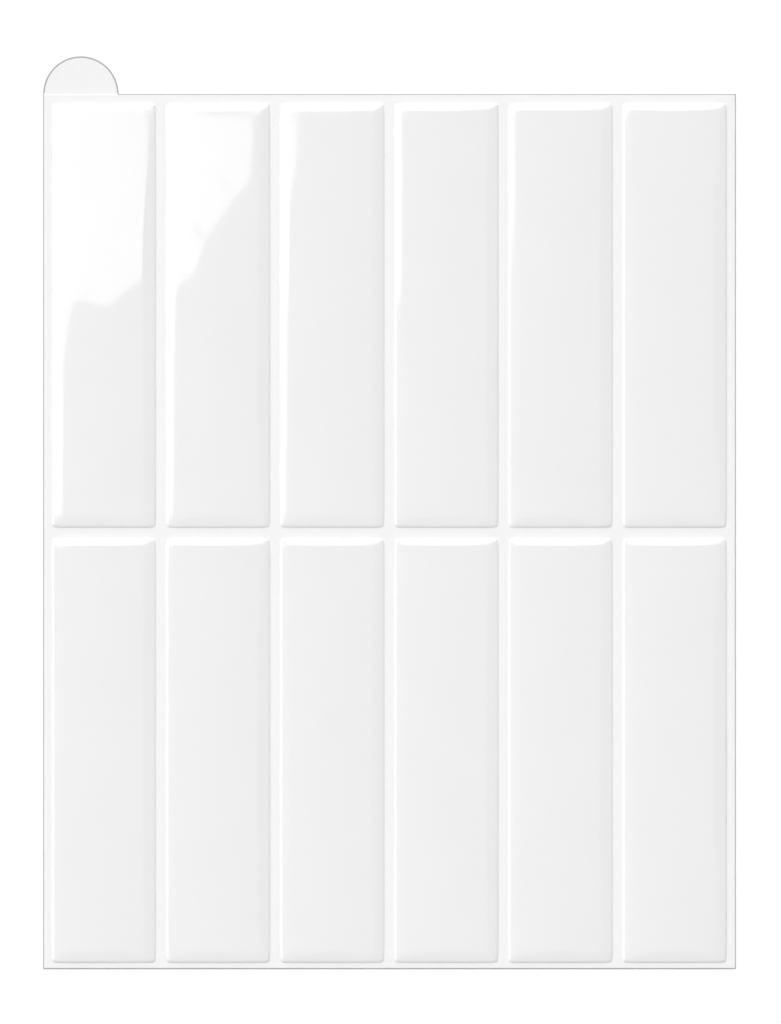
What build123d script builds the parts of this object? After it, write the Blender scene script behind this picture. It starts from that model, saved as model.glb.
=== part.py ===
from build123d import *
import math
import os

# Peel and stick backsplash sheet: gel tiles cast on a printed film, over a release liner
# with a peel tab. Sizes are in millimetres.
# The origin is the centre of the back of the sheet, without its tab. The sheet lies flat:
# +X runs to its right, +Y to the edge that has the tab, and +Z out of the tiles.

# Grid of tiles, in straight columns
column_count = 6
row_count = 2
tile_width = 35.1
tile_length = 141.8
column_gap = 3.0
row_gap = 3.4

# Gel tile: a low cushion. Its shoulder rises from the foot as a quarter of an ellipse does,
# until it meets a face that is crowned a little across the tile, and less along it
tile_height = 1.2
foot_corner_radius = 1.8
crest_corner_radius = 0.9
shoulder_width = 7.5
shoulder_overshoot = 0.2
shoulder_sections = 4
crown_across = 0.25
crown_along = 0.15
crest_blend = 1.5
blank_spare = 1.0

# Printed film, which shows between the tiles as grout, and its bare margins outside them
film_thickness = 0.3
margin_left = 2.4
margin_right = 2.6
margin_top = 2.7
margin_bottom = 1.7

# Release liner, which stands past the film all round, and its half-round peel tab
liner_thickness = 0.15
liner_rim = 0.3
tab_radius = 12.6

column_pitch = tile_width + column_gap
row_pitch = tile_length + row_gap
tiled_width = column_count * column_pitch - column_gap
tiled_length = row_count * row_pitch - row_gap
film_width = margin_left + tiled_width + margin_right
film_length = margin_bottom + tiled_length + margin_top
liner_width = film_width + 2 * liner_rim
liner_length = film_length + 2 * liner_rim
film_face = liner_thickness + film_thickness

# Centre of the first tile, at the top left
first_column = -film_width / 2 + margin_left + tile_width / 2
first_row = film_length / 2 - margin_top - tile_length / 2


def release_liner():
    # The tab's left side runs on from the sheet's left edge
    tab_centre = (-liner_width / 2 + tab_radius, liner_length / 2)
    outline = Rectangle(liner_width, liner_length) + Pos(*tab_centre) * Circle(tab_radius)
    return extrude(outline, liner_thickness)


def backing_film():
    sheet = extrude(Rectangle(film_width, film_length), film_thickness)
    return Pos(0, 0, liner_thickness) * sheet


def shoulder_section(turn):
    # Outline of the tile where its shoulder has turned this far, in degrees, from upright
    share = 1 - math.cos(math.radians(turn))
    inset = shoulder_width * share
    height = (tile_height + shoulder_overshoot) * math.sin(math.radians(turn))
    radius = foot_corner_radius + share * (crest_corner_radius - foot_corner_radius)
    outline = RectangleRounded(tile_width - 2 * inset, tile_length - 2 * inset, radius)
    return Plane.XY.offset(height) * outline


def crown_blank():
    # Block with a face that is curved both ways, and that stands past the tile on every side
    half_width = tile_width / 2 + blank_spare
    half_length = tile_length / 2 + blank_spare
    edge = tile_height - crown_across * (2 * half_width / tile_width) ** 2
    face_line = ThreePointArc((-half_width, edge), (0, tile_height), (half_width, edge))
    sides = Polyline((half_width, edge), (half_width, -blank_spare),
                     (-half_width, -blank_spare), (-half_width, edge))
    profile = make_face(Plane.XZ * (face_line + sides))
    # The profile swings about a far axis below it, which gives the long crown
    swing_radius = tile_length ** 2 / (8 * crown_along)
    half_swing = math.degrees(half_length / swing_radius)
    axis = Axis((0, 0, tile_height - swing_radius), (1, 0, 0))
    return revolve(profile.rotate(axis, -half_swing), axis, 2 * half_swing)


def gel_tile():
    last = shoulder_sections - 1
    cushion = loft([shoulder_section(90 * step / last) for step in range(shoulder_sections)])
    tile = cushion & crown_blank()
    face = tile.faces().sort_by(Axis.Z)[-1]
    return fillet(face.edges(), crest_blend)


def main():
    os.makedirs("parts", exist_ok=True)
    export_step(release_liner(), "parts/release_liner.step")
    export_step(backing_film(), "parts/backing_film.step")
    tile = gel_tile()
    for row in range(row_count):
        for column in range(column_count):
            x = first_column + column * column_pitch
            y = first_row - row * row_pitch
            name = f"gel_tile_r{row + 1}_c{column + 1}"
            export_step(Pos(x, y, film_face) * tile, f"parts/{name}.step")


main()
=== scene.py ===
import math
import bmesh
import bpy
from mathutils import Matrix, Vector


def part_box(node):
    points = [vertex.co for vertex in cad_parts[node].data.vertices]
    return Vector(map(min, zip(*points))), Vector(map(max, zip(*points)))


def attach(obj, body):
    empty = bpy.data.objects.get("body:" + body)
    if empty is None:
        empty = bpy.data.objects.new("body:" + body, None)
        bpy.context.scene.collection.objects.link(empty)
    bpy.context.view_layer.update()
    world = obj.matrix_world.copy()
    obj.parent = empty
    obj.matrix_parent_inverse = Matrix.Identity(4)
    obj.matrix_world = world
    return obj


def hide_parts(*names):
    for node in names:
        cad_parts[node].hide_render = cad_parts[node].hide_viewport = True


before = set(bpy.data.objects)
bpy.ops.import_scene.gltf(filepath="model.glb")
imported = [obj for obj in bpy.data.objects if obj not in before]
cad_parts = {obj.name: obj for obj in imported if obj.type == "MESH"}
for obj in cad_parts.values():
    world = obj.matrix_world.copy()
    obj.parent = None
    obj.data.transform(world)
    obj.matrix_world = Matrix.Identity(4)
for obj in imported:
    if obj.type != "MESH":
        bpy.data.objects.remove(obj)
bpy.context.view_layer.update()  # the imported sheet, in metres: liner, film and twelve tiles
print("frame loaded")

# Pieces are modelled in millimetres, one unit a millimetre, and brought to metres at the end
toMetres = 0.001
toMillimetres = 1000
hair = 0.1  # mm, slack where vertices are picked by their place
facing = 0.9  # a face looks along an axis when its normal has more than this on it


def boxOf(node):
    # Lowest and highest corner of a CAD node, in millimetres
    low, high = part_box(node)
    return low * toMillimetres, high * toMillimetres


def near(a, b, slack=0.001):
    return abs(a - b) < slack


def halfway(place):
    # Within a millimetre of the middle
    return near(place, 0, 1)


def spread(half, spans):
    # Evenly spaced places from -half to half
    return [half * (2 * step / spans - 1) for step in range(spans + 1)]


# Modelling helpers

def deselectAll():
    bpy.ops.object.select_all(action="DESELECT")


def addBlock(name, low, high):
    # A box between two corners, open for editing, with its place in its mesh
    deselectAll()
    low, high = Vector(low), Vector(high)
    bpy.ops.mesh.primitive_cube_add(size=1, location=(low + high) / 2, scale=high - low)
    bpy.ops.object.transform_apply(location=True, rotation=True, scale=True)
    block = bpy.context.object
    block.name = name
    block.data.name = name
    bpy.ops.object.mode_set(mode="EDIT")
    return block


def pickVerts(piece, wanted):
    # Selects the vertices for which wanted(place) is true, with the edges and faces between them
    bpy.ops.mesh.select_mode(type="VERT")
    shape = bmesh.from_edit_mesh(piece.data)
    for part in (shape.faces, shape.edges, shape.verts):
        for item in part:
            item.select = False
    for vert in shape.verts:
        vert.select = wanted(vert.co) and not vert.hide
    shape.select_flush_mode()
    bmesh.update_edit_mesh(piece.data)


def pickEdges(piece, wanted):
    # Selects the edges for which wanted(one end, other end) is true
    bpy.ops.mesh.select_mode(type="EDGE")
    shape = bmesh.from_edit_mesh(piece.data)
    for part in (shape.faces, shape.edges, shape.verts):
        for item in part:
            item.select = False
    for edge in shape.edges:
        if wanted(edge.verts[0].co, edge.verts[1].co):
            edge.select_set(True)
    bmesh.update_edit_mesh(piece.data)


def pickFaces(piece, wanted):
    # Selects the faces for which wanted(middle, normal) is true
    bpy.ops.mesh.select_mode(type="FACE")
    shape = bmesh.from_edit_mesh(piece.data)
    for part in (shape.faces, shape.edges, shape.verts):
        for item in part:
            item.select = False
    for face in shape.faces:
        if wanted(face.calc_center_median(), face.normal):
            face.select_set(True)
    bmesh.update_edit_mesh(piece.data)


def cut(place, normal):
    bpy.ops.mesh.select_all(action="SELECT")
    bpy.ops.mesh.bisect(plane_co=place, plane_no=normal, threshold=0.001)


def bringToMetres(piece, place=(0, 0, 0)):
    deselectAll()
    piece.select_set(True)
    bpy.context.view_layer.objects.active = piece
    piece.location = Vector(place) * toMetres
    piece.scale = [toMetres] * 3
    bpy.ops.object.transform_apply(location=True, rotation=True, scale=True)


def dress(piece, node, slot, *materials):
    # The piece stands for its CAD node, rides on the sheet and gets its finish
    piece.data.materials.clear()
    for material in materials:
        piece.data.materials.append(material)
    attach(piece, "root")
    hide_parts(node)


# Materials

def linear(hexColour):
    # sRGB hex to linear, with alpha
    channels = [int(hexColour[i:i + 2], 16) / 255 for i in (1, 3, 5)]
    return [c / 12.92 if c <= 0.04045 else ((c + 0.055) / 1.055) ** 2.4 for c in channels] + [1]


def newMaterial(name):
    material = bpy.data.materials.new(name)
    material.use_nodes = True
    material.node_tree.nodes.clear()
    return material, material.node_tree


def addNode(tree, kind, settings=None, links=None):
    # Settings are the node's own or its sockets' values, and links are sockets that feed it. A Mix
    # node's sockets go by number: 2 and 3 are its floats, 6 and 7 its colours
    node = tree.nodes.new(kind)
    for key, value in (settings or {}).items():
        if isinstance(key, str) and hasattr(node, key):
            setattr(node, key, value)
        else:
            node.inputs[key].default_value = value
    for key, socket in (links or {}).items():
        tree.links.new(socket, node.inputs[key])
    return node


# Cast polyurethane gel, poured on the film and cured: a wet gloss with slow waves in it, over a
# body that is white through and through
gelFinish = {
    "deep": "#F3F3F3",
    "pale": "#F6F6F6",
    "cloudSize": 30,  # mm, how far apart the paler stretches lie
    "cloudDetail": 2,
    "roughness": 0.05,
    "ior": 1.5,
    "waveSize": 9,  # mm, from crest to crest of the slow waves
    "waveDetail": 1,
    "waveHeight": 0.002,  # mm
}


def makeGel():
    material, tree = newMaterial("cast polyurethane gel")
    place = addNode(tree, "ShaderNodeTexCoord")
    inMillimetres = addNode(tree, "ShaderNodeMapping", {"Scale": [toMillimetres] * 3},
                            {"Vector": place.outputs["Object"]})
    clouds = addNode(tree, "ShaderNodeTexNoise",
                     {"Scale": 1 / gelFinish["cloudSize"], "Detail": gelFinish["cloudDetail"]},
                     {"Vector": inMillimetres.outputs[0]})
    tint = addNode(tree, "ShaderNodeMix",
                   {"data_type": "RGBA", 6: linear(gelFinish["deep"]), 7: linear(gelFinish["pale"])},
                   {"Factor": clouds.outputs["Fac"]})
    waves = addNode(tree, "ShaderNodeTexNoise",
                    {"Scale": 1 / gelFinish["waveSize"], "Detail": gelFinish["waveDetail"]},
                    {"Vector": inMillimetres.outputs[0]})
    relief = addNode(tree, "ShaderNodeBump",
                     {"Strength": 1, "Distance": gelFinish["waveHeight"] * toMetres},
                     {"Height": waves.outputs["Fac"]})
    shader = addNode(tree, "ShaderNodeBsdfPrincipled",
                     {"Roughness": gelFinish["roughness"], "IOR": gelFinish["ior"]},
                     {"Base Color": tint.outputs[2], "Normal": relief.outputs[0]})
    addNode(tree, "ShaderNodeOutputMaterial", links={"Surface": shader.outputs[0]})
    return material


# Printed vinyl film, calendered and matt: even white ink with a fine grain
filmFinish = {
    "deep": "#F6F6F6",
    "pale": "#FAFAFA",
    "grainSize": 0.9,  # mm, coarser than the real grain of about 0.1 mm, which is too fine to show
    "grainHeight": 0.004,  # mm
    "grainDetail": 2,
    "roughness": 0.8,
    "ior": 1.53,
    "sheen": 0.1,  # specular level: the matte lacquer leaves hardly any
}


def makeVinyl():
    material, tree = newMaterial("printed vinyl film")
    place = addNode(tree, "ShaderNodeTexCoord")
    inMillimetres = addNode(tree, "ShaderNodeMapping", {"Scale": [toMillimetres] * 3},
                            {"Vector": place.outputs["Object"]})
    grain = addNode(tree, "ShaderNodeTexNoise",
                    {"Scale": 1 / filmFinish["grainSize"], "Detail": filmFinish["grainDetail"]},
                    {"Vector": inMillimetres.outputs[0]})
    ink = addNode(tree, "ShaderNodeMix",
                  {"data_type": "RGBA", 6: linear(filmFinish["deep"]), 7: linear(filmFinish["pale"])},
                  {"Factor": grain.outputs["Fac"]})
    relief = addNode(tree, "ShaderNodeBump",
                     {"Strength": 1, "Distance": filmFinish["grainHeight"] * toMetres},
                     {"Height": grain.outputs["Fac"]})
    shader = addNode(tree, "ShaderNodeBsdfPrincipled",
                     {"Roughness": filmFinish["roughness"], "IOR": filmFinish["ior"],
                      "Specular IOR Level": filmFinish["sheen"]},
                     {"Base Color": ink.outputs[2], "Normal": relief.outputs[0]})
    addNode(tree, "ShaderNodeOutputMaterial", links={"Surface": shader.outputs[0]})
    return material


# Glassine paper with a silicone coat on this side: a dull satin, with short fibres that show as
# a faint mottle
paperFinish = {
    "deep": "#F4F4F4",
    "pale": "#F8F8F8",
    "fibreLength": 3.0,  # mm
    "fibreWidth": 0.6,  # mm, coarser than real fibres of about 0.03 mm
    "fibreDetail": 3,
    "roughness": 0.6,
    "ior": 1.45,
    "sheen": 0.1,  # specular level: the silicone is so thin that it adds hardly any shine
    "paintedRimShade": "#B6B6B6",  # the die-cut rim, painted grey as the shade line along the sheet's edge
}


def makePaper(name, deep, pale):
    material, tree = newMaterial(name)
    place = addNode(tree, "ShaderNodeTexCoord")
    stretch = [toMillimetres / paperFinish["fibreWidth"], toMillimetres / paperFinish["fibreLength"],
               toMillimetres / paperFinish["fibreWidth"]]
    alongFibres = addNode(tree, "ShaderNodeMapping", {"Scale": stretch},
                          {"Vector": place.outputs["Object"]})
    fibres = addNode(tree, "ShaderNodeTexNoise", {"Scale": 1, "Detail": paperFinish["fibreDetail"]},
                     {"Vector": alongFibres.outputs[0]})
    tint = addNode(tree, "ShaderNodeMix", {"data_type": "RGBA", 6: linear(deep), 7: linear(pale)},
                   {"Factor": fibres.outputs["Fac"]})
    shader = addNode(tree, "ShaderNodeBsdfPrincipled",
                     {"Roughness": paperFinish["roughness"], "IOR": paperFinish["ior"],
                      "Specular IOR Level": paperFinish["sheen"]},
                     {"Base Color": tint.outputs[2]})
    addNode(tree, "ShaderNodeOutputMaterial", links={"Surface": shader.outputs[0]})
    return material


gel = makeGel()
vinyl = makeVinyl()
paper = makePaper("glassine paper", paperFinish["deep"], paperFinish["pale"])
# The cut rim's grey is painted shade: the shadow line along the sheet's edge
rimShadePaper = makePaper("glassine rim with painted shade", paperFinish["paintedRimShade"], paperFinish["paintedRimShade"])
print("materials made")


# Gel tile: a low cushion. From a steep foot the shoulder rounds up to the crest, where the
# crowned face begins. The crest is crisp at the tile's top end, less so at its right side, and
# rolls over elsewhere
tileShape = {
    "height": 1.2,  # mm, at the middle of the face
    "cornerRadius": 1.35,  # mm, of the cage in plan, which smooths out to about 1.7
    "cornerSteps": 2,
    "spansAcross": 6,  # of the face between its corner lines
    "spansAlong": 12,
    "rings": {  # mm, height of each line round the shoulder: how far in it is on each side
        0.22: {"left": 0.22, "right": 0.20, "top": 0.08, "bottom": 0.11},
        0.44: {"left": 0.62, "right": 0.48, "top": 0.24, "bottom": 0.39},
        0.58: {"left": 1.05, "right": 0.71, "top": 0.41, "bottom": 0.78},
        0.68: {"left": 1.53, "right": 0.98, "top": 0.85, "bottom": 1.20},
    },
    "crestInset": {"left": 2.5, "right": 3.4, "top": 2.3, "bottom": 2.8},  # mm, at the corners
    "crestBow": {"left": 0.4, "right": 0.8, "top": 0.25, "bottom": 1.0},  # mm, further in halfway
    "faceMargin": 0.8,  # mm, from the crest to the first line of the face
    "crownAcross": 0.25,  # mm, that the face drops from its middle to its long edges
    "crownAlong": 0.1,  # mm, from its middle to its ends
    "crispTop": 0.9,  # how sharp the crest stays at the top end
    "crispRight": 0.2,  # and at the right side
    "smoothing": 3,  # times that the cage is halved
    "footAngle": 50,  # degrees, edges sharper than this stay sharp
}


def drawIn(width, length, left, right, top, bottom):
    # Scales what is selected so that its outline moves in by these widths
    share = (1 - (left + right) / width, 1 - (top + bottom) / length, 1)
    middle = (width * (left / (left + right) - 0.5), length * (0.5 - top / (top + bottom)), 0)
    bpy.ops.transform.resize(value=share, center_override=middle)


def swell(piece, line, middle, shift, reach):
    # Moves the middle of a line, and the rest of the line follows as a parabola does
    pickVerts(piece, lambda v: not line(v))
    bpy.ops.mesh.hide()
    pickVerts(piece, middle)
    bpy.ops.transform.translate(value=shift, use_proportional_edit=True,
                                proportional_edit_falloff="INVERSE_SQUARE", proportional_size=reach)
    bpy.ops.mesh.reveal()


def makeTile(width, length):
    shape = tileShape
    base = shape["height"] - shape["crownAcross"] - shape["crownAlong"]
    tile = addBlock("tile", (-width / 2, -length / 2, 0), (width / 2, length / 2, base))

    # Corners rounded in plan, then the lines of the face and the rings of the shoulder
    pickEdges(tile, lambda a, b: near(a.x, b.x) and near(a.y, b.y))
    bpy.ops.mesh.bevel(offset=shape["cornerRadius"], segments=shape["cornerSteps"], affect="EDGES")
    lastX, lastY = width / 2 - shape["cornerRadius"], length / 2 - shape["cornerRadius"]
    for x in spread(lastX, shape["spansAcross"]):
        cut((x, 0, 0), (1, 0, 0))
    for y in spread(lastY, shape["spansAlong"]):
        cut((0, y, 0), (0, 1, 0))
    rings = len(shape["rings"])
    levels = [base * (ring + 1) / (rings + 1) for ring in range(rings)]
    for level in levels:
        cut((0, 0, level), (0, 0, 1))

    # The lines of the face are drawn in, then all of it to the crest
    pickVerts(tile, lambda v: near(v.z, base)
              and abs(v.x) < lastX + hair and abs(v.y) < lastY + hair)
    drawIn(width, length, *[shape["faceMargin"]] * 4)
    left, right, top, bottom = shape["crestInset"].values()
    pickVerts(tile, lambda v: near(v.z, base))
    drawIn(width, length, left, right, top, bottom)
    leftLine, rightLine = left - width / 2, width / 2 - right
    topLine, bottomLine = length / 2 - top, bottom - length / 2
    pickEdges(tile, lambda a, b: near(a.y, topLine) and near(b.y, topLine))
    bpy.ops.transform.edge_crease(value=shape["crispTop"])
    pickEdges(tile, lambda a, b: near(a.x, rightLine) and near(b.x, rightLine))
    bpy.ops.transform.edge_crease(value=shape["crispRight"])

    # The crest bows in towards the middle of each side, where the crown is higher
    bow = shape["crestBow"]
    for end, shift in ((topLine, -bow["top"]), (bottomLine, bow["bottom"])):
        swell(tile, lambda v: near(v.z, base) and near(v.y, end), lambda v: halfway(v.x),
              (0, shift, 0), rightLine)
    for side, shift in ((leftLine, bow["left"]), (rightLine, -bow["right"])):
        swell(tile, lambda v: near(v.z, base) and near(v.x, side), lambda v: halfway(v.y),
              (shift, 0, 0), topLine)

    # The crown, across and then along, and the rings to their places
    swell(tile, lambda v: near(v.z, base), lambda v: halfway(v.x),
          (0, 0, shape["crownAcross"]), width / 2)
    swell(tile, lambda v: v.z > base - hair, lambda v: halfway(v.y),
          (0, 0, shape["crownAlong"]), length / 2)
    for level, (height, insets) in reversed(list(zip(levels, shape["rings"].items()))):
        pickVerts(tile, lambda v: near(v.z, level))
        drawIn(width, length, *insets.values())
        bpy.ops.transform.translate(value=(0, 0, height - level))

    # The bottom is one flat face, and the foot stays sharp
    pickFaces(tile, lambda middle, normal: normal.z < -facing)
    bpy.ops.mesh.dissolve_faces()
    pickEdges(tile, lambda a, b: near(a.z, 0) and near(b.z, 0))
    bpy.ops.transform.edge_crease(value=1)

    bpy.ops.object.mode_set(mode="OBJECT")
    bpy.ops.object.modifier_add(type="SUBSURF")
    smoothing = tile.modifiers[-1]
    smoothing.levels = shape["smoothing"]
    smoothing.render_levels = shape["smoothing"]
    bpy.ops.object.modifier_apply(modifier=smoothing.name)
    bpy.ops.object.shade_smooth_by_angle(angle=math.radians(shape["footAngle"]))
    return tile


def layTiles():
    nodes = sorted(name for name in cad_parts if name.startswith("gel_tile"))
    low, high = boxOf(nodes[0])
    pattern = makeTile(high.x - low.x, high.y - low.y)
    for node in nodes:
        low, high = boxOf(node)
        deselectAll()
        pattern.select_set(True)
        bpy.context.view_layer.objects.active = pattern
        bpy.ops.object.duplicate(linked=False)
        tile = bpy.context.object
        tile.name = node.replace("gel_tile", "tile")
        tile.data.name = tile.name
        bringToMetres(tile, ((low.x + high.x) / 2, (low.y + high.y) / 2, low.z))
        dress(tile, node, "tile_gel", gel)
    deselectAll()
    pattern.select_set(True)
    bpy.ops.object.delete()


layTiles()
print("gel tiles laid")


# Backing film: a thin sheet with edges that the knife has turned down a little
filmShape = {
    "edgeRadius": 0.06,  # mm
    "edgeSteps": 3,
}


def makeBackingFilm():
    low, high = boxOf("backing_film")
    sheet = addBlock("film", low, high)
    pickFaces(sheet, lambda middle, normal: normal.z > facing)
    bpy.ops.mesh.bevel(offset=filmShape["edgeRadius"], segments=filmShape["edgeSteps"],
                       affect="EDGES")
    bpy.ops.object.mode_set(mode="OBJECT")
    bringToMetres(sheet)
    dress(sheet, "backing_film", "grout_film", vinyl)


makeBackingFilm()
print("film made")


# Release liner: paper cut to the sheet with a half-round tab at its top left corner
linerShape = {
    "tabRadius": 12.6,  # mm
    "tabSteps": 24,  # rows of the tab, each drawn in to the circle
    "tipWidth": 0.4,  # mm, of the last row
    "tabShadeRim": 0.55,  # mm, wider than along the sheet, so that the painted shade line round the tab is wider too
}


def makeLiner():
    low, high = boxOf("release_liner")
    filmLow, filmHigh = boxOf("backing_film")
    rim = filmLow.x - low.x
    radius = linerShape["tabRadius"]
    sheetTop = filmHigh.y + rim
    liner = addBlock("liner", low, (high.x, sheetTop, high.z))
    cut((low.x + 2 * radius, 0, 0), (1, 0, 0))
    middle = Vector((low.x + radius, sheetTop, 0))

    # The tab grows out of the top edge row by row, each as wide as the circle is there
    pickFaces(liner, lambda centre, normal: normal.y > facing and centre.x < middle.x + radius)
    steps = linerShape["tabSteps"]
    width, reach = radius, 0
    for step in range(1, steps + 1):
        turn = math.pi / 2 * step / steps
        newWidth = max(radius * math.cos(turn), linerShape["tipWidth"] / 2)
        newReach = radius * math.sin(turn)
        bpy.ops.mesh.extrude_region_move(TRANSFORM_OT_translate={"value": (0, newReach - reach, 0)})
        bpy.ops.transform.resize(value=(newWidth / width, 1, 1), center_override=middle)
        width, reach = newWidth, newReach

    # The cut rim all round, which gets the painted shade line, is a face of its own
    pickFaces(liner, lambda centre, normal: normal.z > facing)
    bpy.ops.mesh.inset(thickness=rim, use_boundary=True)
    bareTab = radius - linerShape["tabShadeRim"]
    pickVerts(liner, lambda v: near(v.z, high.z) and v.y > sheetTop + rim
              and (v - middle).xy.length < radius - rim / 2)
    bpy.ops.transform.resize(value=(bareTab / (radius - rim), bareTab / (radius - rim), 1),
                             center_override=middle)
    bpy.ops.object.mode_set(mode="OBJECT")
    bringToMetres(liner)
    dress(liner, "release_liner", "liner_paper", paper, rimShadePaper)
    paintRimShade(liner, filmLow, filmHigh, middle, bareTab)


def paintRimShade(liner, filmLow, filmHigh, middle, bareTab):
    # What lies outside the film and the bare tab is cut paper, greyed with painted shade
    for face in liner.data.polygons:
        place = face.center * toMillimetres
        onSheet = filmLow.x < place.x < filmHigh.x and filmLow.y < place.y < filmHigh.y
        onTab = place.y > filmHigh.y and (place - middle).xy.length < bareTab
        face.material_index = 0 if onSheet or onTab else 1


makeLiner()
print("liner made")


# Studio: a pale floor, an even sky whose gloss is brighter on the left, and soft boxes
studio = {
    "floorSize": 40000,  # mm
    "floorDrop": 0.02,  # mm below the liner, so that the two don't share a plane
    "floorColour": "#EFEFEF",
    "floorRoughness": 0.9,
    "floorGlow": 0.2,  # brings the floor up to white for the camera and keeps the shadow
    "sky": 0.285,  # what lights the sheet from all round
    "glossLeft": 0.95,  # what the gel mirrors of it on the left
    "glossRight": 0.33,
    "glossTurn": 0.08,  # half the width of the turn between the two, as a share of the radius
}


def addFloor():
    deselectAll()
    bpy.ops.mesh.primitive_plane_add(size=studio["floorSize"] * toMetres,
                                     location=(0, 0, -studio["floorDrop"] * toMetres))
    floor = bpy.context.object
    floor.name = "floor"
    material, tree = newMaterial("painted floor")
    seen = addNode(tree, "ShaderNodeLightPath")
    either = addNode(tree, "ShaderNodeMath", {"operation": "MAXIMUM"},
                     {0: seen.outputs["Is Camera Ray"], 1: seen.outputs["Is Glossy Ray"]})
    strength = addNode(tree, "ShaderNodeMath", {"operation": "MULTIPLY", 1: studio["floorGlow"]},
                       {0: either.outputs[0]})
    shader = addNode(tree, "ShaderNodeBsdfPrincipled",
                     {"Base Color": linear(studio["floorColour"]),
                      "Roughness": studio["floorRoughness"], "Emission Color": (1, 1, 1, 1)},
                     {"Emission Strength": strength.outputs[0]})
    addNode(tree, "ShaderNodeOutputMaterial", links={"Surface": shader.outputs[0]})
    floor.data.materials.append(material)


def addSky():
    # White for the camera, with its own levels for the light on the sheet and for the gloss
    world = bpy.data.worlds.new("studio")
    world.use_nodes = True
    bpy.context.scene.world = world
    tree = world.node_tree
    tree.nodes.clear()
    place = addNode(tree, "ShaderNodeTexCoord")
    parts = addNode(tree, "ShaderNodeSeparateXYZ", links={"Vector": place.outputs["Generated"]})
    gloss = addNode(tree, "ShaderNodeMapRange",
                    {"interpolation_type": "SMOOTHSTEP", "From Min": -studio["glossTurn"],
                     "From Max": studio["glossTurn"], "To Min": studio["glossLeft"],
                     "To Max": studio["glossRight"]},
                    {"Value": parts.outputs["X"]})
    seen = addNode(tree, "ShaderNodeLightPath")
    level = addNode(tree, "ShaderNodeMix", {"data_type": "FLOAT", 2: studio["sky"]},
                    {"Factor": seen.outputs["Is Glossy Ray"], 3: gloss.outputs[0]})
    strength = addNode(tree, "ShaderNodeMix", {"data_type": "FLOAT", 3: 1.0},
                       {"Factor": seen.outputs["Is Camera Ray"], 2: level.outputs[0]})
    sky = addNode(tree, "ShaderNodeBackground", {"Color": (1, 1, 1, 1)},
                  {"Strength": strength.outputs[0]})
    addNode(tree, "ShaderNodeOutputWorld", links={"Surface": sky.outputs[0]})


# Soft boxes, with the brightness of their faces. The far ones face the sheet: one that is diffuse
# lights it, and one that is gloss shows in the gel. The near ones hang low over the top left tiles,
# and only the gloss of the gel shows them
farBoxes = {
    "topBox": {"place": (-600, 4750, 4590), "width": 5600, "height": 8900, "brightness": 2.6,
               "diffuse": True, "gloss": True},
    "leftBox": {"place": (-5334, 0, 3531), "width": 2700, "height": 5560, "brightness": 3.6,
                "diffuse": False, "gloss": True},
    "leftFill": {"place": (-5334, 0, 3531), "width": 2700, "height": 5560, "brightness": 1.8,
                 "diffuse": True, "gloss": False},
    "overhead": {"place": (0, -500, 1500), "width": 1200, "height": 1200, "brightness": 1.25,
                 "diffuse": True, "gloss": False},
}
nearBoxes = {
    "height": 214,  # mm above the sheet
    "brightness": 2.8,
    "outline": ((-39, 143.5), (-39, 132), (-41, 120), (-50, 114), (-66, 100), (-71, 89), (-97, 76.5),
                (-107, 79), (-115, 79), (-122, 52), (-123, 1.5)),  # mm, x and y, along its edge
    "depth": 26,  # mm, of the boxes that line this edge
    "fillings": {  # left, low, right and high side, mm
        "keyBox": (-300, 115, -62, 143.5),
        "upperBox": (-300, 143.5, -69, 260),
        "upperEnd": (-69, 145.5, -10, 200),
        "cornerEnd": (-10, 160, 25, 260),
        "cornerBox": (-95, 90, -72, 120),
        "lowBox": (-300, 84, -86, 115),
        "lowEnd": (-300, 79, -112, 84),
        "stripBox": (-300, 1.5, -140, 84),
    },
}


def addSoftBox(name, place, width, height, brightness):
    # An area lamp that looks straight down; its power is its brightness times its area times pi
    deselectAll()
    bpy.ops.object.light_add(type="AREA", location=Vector(place) * toMetres)
    box = bpy.context.object
    box.name = name
    box.data.shape = "RECTANGLE"
    box.data.size = width * toMetres
    box.data.size_y = height * toMetres
    box.data.energy = brightness * box.data.size * box.data.size_y * math.pi
    box.visible_camera = False
    return box


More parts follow.
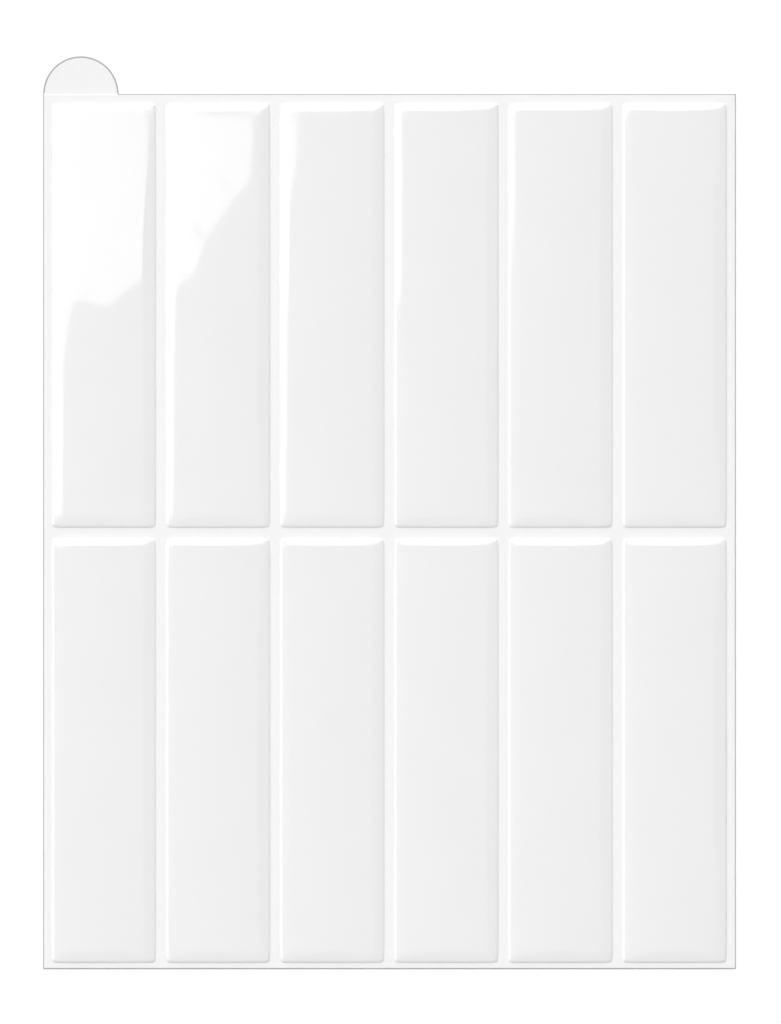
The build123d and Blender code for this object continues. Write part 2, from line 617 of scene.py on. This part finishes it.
def addLights():
    for name, box in farBoxes.items():
        lamp = addSoftBox(name, box["place"], box["width"], box["height"], box["brightness"])
        lamp.rotation_euler = (-lamp.location).to_track_quat("-Z", "Y").to_euler()
        lamp.visible_diffuse, lamp.visible_glossy = box["diffuse"], box["gloss"]
    height, brightness = nearBoxes["height"], nearBoxes["brightness"]
    for name, (left, low, right, high) in nearBoxes["fillings"].items():
        place = ((left + right) / 2, (low + high) / 2, height)
        addSoftBox(name, place, right - left, high - low, brightness).visible_diffuse = False
    ends = [Vector(point) for point in nearBoxes["outline"]]
    for number, (start, end) in enumerate(zip(ends, ends[1:])):
        along = end - start
        inwards = Vector((along.y, -along.x)).normalized() * nearBoxes["depth"] / 2
        place = (*((start + end) / 2 + inwards), height)
        lamp = addSoftBox(f"edgeBox{number}", place, along.length, nearBoxes["depth"], brightness)
        lamp.rotation_euler = (0, 0, math.atan2(along.y, along.x))
        lamp.visible_diffuse = False


addFloor()
addSky()
addLights()
print("studio lit")


# Camera: straight down from far away, with a long lens, on the photograph's frame
photo = {
    "width": 781,  # px
    "height": 1024,  # px
    "pixelsPerMillimetre": 2.9963,
    "sheetMiddle": (389.5, 531.5),  # px, where the middle of the sheet falls
    "distance": 8000,  # mm
    "sensor": 36,  # mm
    "nearest": 100,  # mm, where the camera starts to see
    "farthest": 100000,  # mm
}


def addCamera():
    deselectAll()
    tall = photo["height"] / photo["pixelsPerMillimetre"]
    x = (photo["width"] / 2 - photo["sheetMiddle"][0]) / photo["pixelsPerMillimetre"]
    y = (photo["sheetMiddle"][1] - photo["height"] / 2) / photo["pixelsPerMillimetre"]
    place = Vector((x, y, photo["distance"])) * toMetres
    bpy.ops.object.camera_add(location=place, rotation=(0, 0, 0))
    camera = bpy.context.object
    camera.name = "camera"
    camera.data.sensor_width = photo["sensor"]
    camera.data.lens = photo["sensor"] * photo["distance"] / tall
    camera.data.clip_start = photo["nearest"] * toMetres
    camera.data.clip_end = photo["farthest"] * toMetres
    bpy.context.scene.camera = camera


addCamera()
bpy.context.scene.view_settings.view_transform = "Standard"
print("camera placed")
